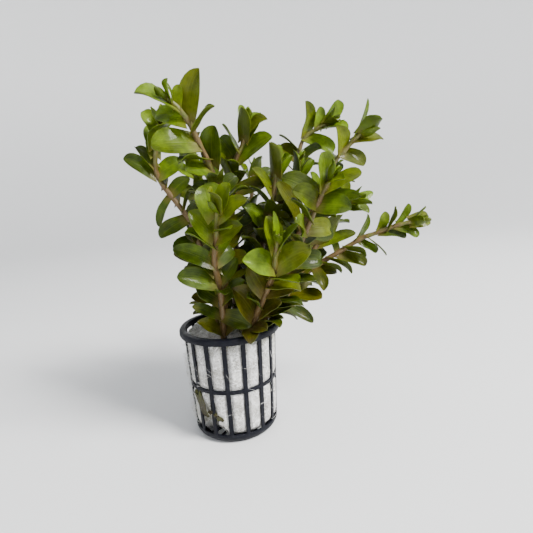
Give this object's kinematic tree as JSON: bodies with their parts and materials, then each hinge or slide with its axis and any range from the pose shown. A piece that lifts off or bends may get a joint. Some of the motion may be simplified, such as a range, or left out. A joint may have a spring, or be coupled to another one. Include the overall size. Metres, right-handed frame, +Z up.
{
  "type": "potted aquarium plant",
  "caption": "Bunch of leafy aquarium stems with thick oval opposite leaves, rooted in a rock wool plug inside a slotted round net pot with a narrow rim.",
  "frame": {"origin": "centre of the pot's flat foot", "axes": "+Z up the pot's axis towards the plant's tips, -Y the front of the plant as seen in the picture"},
  "size_m": [0.1499, 0.0947, 0.166],
  "materials": {
    "pot_plastic": "thin moulded black plastic, slightly glossy, wet and dusty in places",
    "rock_wool": "soft matt white mineral fibre",
    "stem_skin": "firm fleshy pinkish brown skin, finely hairy",
    "leaf": "thick waxy green blade with a wet shine"
  },
  "bodies": {
    "root": {"leaves_back_left_1": "leaf", "leaves_back_left_2": "leaf", "leaves_back_middle_1": "leaf", "leaves_back_middle_2": "leaf", "leaves_back_outer_1": "leaf", "leaves_back_right_1": "leaf", "leaves_back_right_2": "leaf", "leaves_back_right_3": "leaf", "leaves_front_centre_1": "leaf", "leaves_front_centre_2": "leaf", "leaves_front_centre_3": "leaf", "leaves_front_left_1": "leaf", "leaves_front_left_2": "leaf", "leaves_front_left_3": "leaf", "leaves_front_left_4": "leaf", "leaves_left_outer_1": "leaf", "leaves_left_outer_2": "leaf", "leaves_left_outer_3": "leaf", "leaves_left_tall_1": "leaf", "leaves_left_tall_2": "leaf", "leaves_left_tall_3": "leaf", "leaves_middle_right_1": "leaf", "leaves_middle_right_2": "leaf", "leaves_middle_short_1": "leaf", "leaves_middle_tall_1": "leaf", "leaves_middle_tall_2": "leaf", "leaves_middle_tall_3": "leaf", "leaves_middle_tall_4": "leaf", "leaves_right_front_1": "leaf", "leaves_right_front_2": "leaf", "leaves_right_front_3": "leaf", "leaves_right_middle_1": "leaf", "leaves_right_middle_2": "leaf", "leaves_right_middle_3": "leaf", "leaves_right_middle_4": "leaf", "leaves_right_outer_1": "leaf", "leaves_right_outer_2": "leaf", "leaves_right_outer_3": "leaf", "leaves_right_upper_1": "leaf", "leaves_right_upper_2": "leaf", "leaves_right_upper_3": "leaf", "leaves_right_upper_4": "leaf", "net_pot": "pot_plastic", "rock_wool_plug": "rock_wool", "stem_back_left": "stem_skin", "stem_back_middle": "stem_skin", "stem_back_outer": "stem_skin", "stem_back_right": "stem_skin", "stem_front_centre": "stem_skin", "stem_front_left": "stem_skin", "stem_left_outer": "stem_skin", "stem_left_tall": "stem_skin", "stem_middle_right": "stem_skin", "stem_middle_short": "stem_skin", "stem_middle_tall": "stem_skin", "stem_right_front": "stem_skin", "stem_right_middle": "stem_skin", "stem_right_outer": "stem_skin", "stem_right_upper": "stem_skin"}
  },
  "joints": []
}
